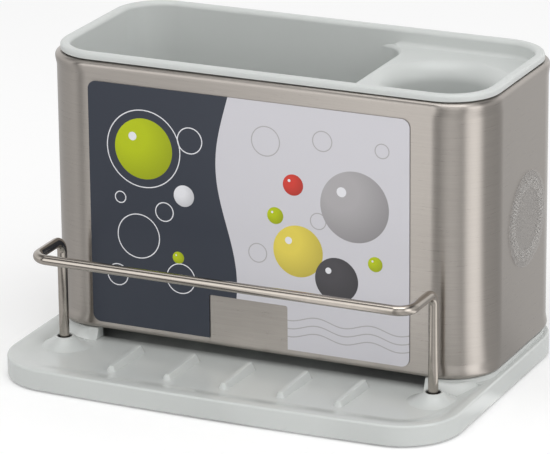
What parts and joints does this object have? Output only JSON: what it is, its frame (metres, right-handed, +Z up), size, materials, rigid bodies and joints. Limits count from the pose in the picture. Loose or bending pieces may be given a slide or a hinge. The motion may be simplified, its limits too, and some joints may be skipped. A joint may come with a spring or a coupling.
{
  "type": "sink organizer",
  "caption": "Free-standing sink organizer: steel-sleeved caddy with a brush well, standing on a drip tray with a ribbed sponge shelf and a wire rail.",
  "frame": {"origin": "under the middle of the whole outline, on the surface that the feet stand on", "axes": "+X along the length towards the brush well, -Y out of the front over the sponge shelf, +Z up"},
  "size_m": [0.2, 0.1432, 0.1304],
  "materials": {
    "tray_plastic": "gloss",
    "foot_rubber": "matt",
    "bush_rubber": "matt",
    "sleeve_steel": "brushed along the length",
    "liner_plastic": "satin",
    "rail_steel": "satin",
    "label_card": "printed film",
    "sticker_film": "clear film"
  },
  "bodies": {
    "tray_body": {"base_tray": "tray_plastic", "foot_front_left": "foot_rubber", "foot_front_right": "foot_rubber", "foot_rear_left": "foot_rubber", "foot_rear_right": "foot_rubber", "rail_bush_left": "bush_rubber", "rail_bush_right": "bush_rubber"},
    "sleeve_body": {"steel_sleeve": "sleeve_steel", "front_label": "label_card", "side_sticker": "sticker_film"},
    "liner_body": {"caddy_liner": "liner_plastic"},
    "rail_body": {"wire_rail": "rail_steel"}
  },
  "joints": [
    {"name": "sleeve_lift", "type": "slide", "parent": "tray_body", "child": "sleeve_body", "axis": [0, 0, 1], "range_m": [0, 0.045]},
    {"name": "liner_lift", "type": "slide", "parent": "sleeve_body", "child": "liner_body", "axis": [0, 0, 1], "range_m": [0, 0.125]},
    {"name": "rail_lift", "type": "slide", "parent": "tray_body", "child": "rail_body", "axis": [0, 0, 1], "range_m": [0, 0.03]}
  ]
}
